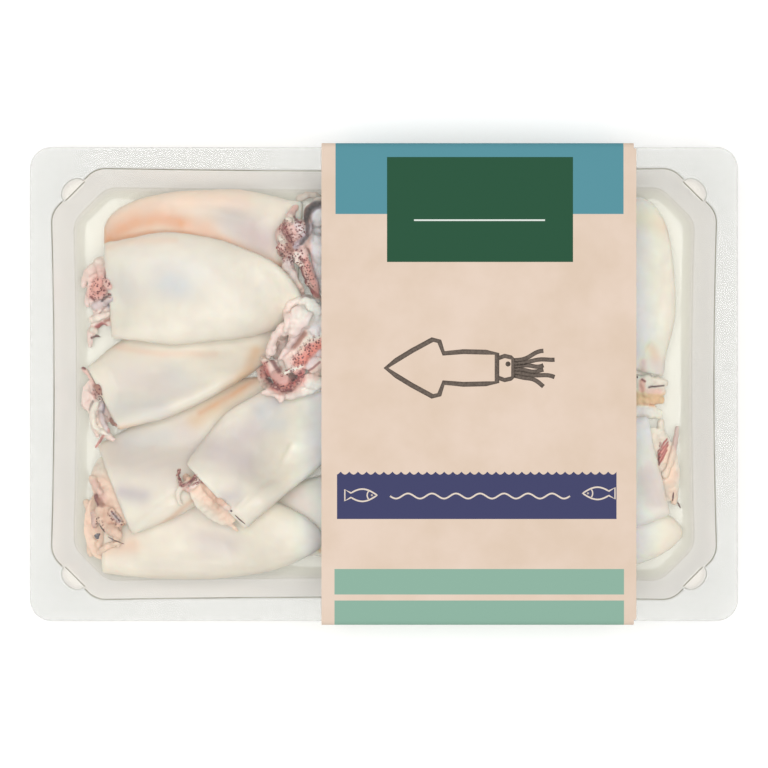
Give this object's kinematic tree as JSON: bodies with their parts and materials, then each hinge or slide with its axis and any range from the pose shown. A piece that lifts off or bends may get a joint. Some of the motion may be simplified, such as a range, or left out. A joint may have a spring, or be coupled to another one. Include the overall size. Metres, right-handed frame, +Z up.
{
  "type": "sealed tray of whole raw squid",
  "caption": "Whole raw squid with their mantles and arms, packed in a clear tray under lidding film and held in a printed card sleeve",
  "frame": {"origin": "on the surface the pack stands on, under the centre of its bounding box", "axes": "+X along the tray's long side, towards the sleeved end; +Y across the tray, to the far side in the picture; +Z up"},
  "size_m": [0.23, 0.1566, 0.0409],
  "materials": {
    "clear tray plastic": "clear thermoformed polyester, glossy",
    "clear lidding film": "clear film, glossy",
    "printed sleeve card": "uncoated printed card, matt",
    "squid mantle flesh": "wet raw flesh, smooth and slightly translucent",
    "squid arm flesh": "wet raw flesh, pink with dark speckles"
  },
  "bodies": {
    "root": {"tray": "clear tray plastic", "film": "clear lidding film", "sleeve": "printed sleeve card", "mantle_mid_low": "squid mantle flesh", "mantle_right_low": "squid mantle flesh", "mantle_far_mid": "squid mantle flesh", "mantle_far_left": "squid mantle flesh", "mantle_near_left": "squid mantle flesh", "mantle_far_right": "squid mantle flesh", "mantle_centre": "squid mantle flesh", "mantle_mid_left": "squid mantle flesh", "mantle_near_right": "squid mantle flesh", "mantle_left": "squid mantle flesh", "mantle_front_left": "squid mantle flesh", "mantle_front_mid": "squid mantle flesh", "head_near_left": "squid arm flesh", "head_far_right": "squid arm flesh", "head_mid_left": "squid arm flesh", "head_near_right": "squid arm flesh", "head_left": "squid arm flesh", "head_far_left": "squid arm flesh", "head_front_left": "squid arm flesh", "head_front_mid": "squid arm flesh", "head_centre": "squid arm flesh"}
  },
  "joints": []
}
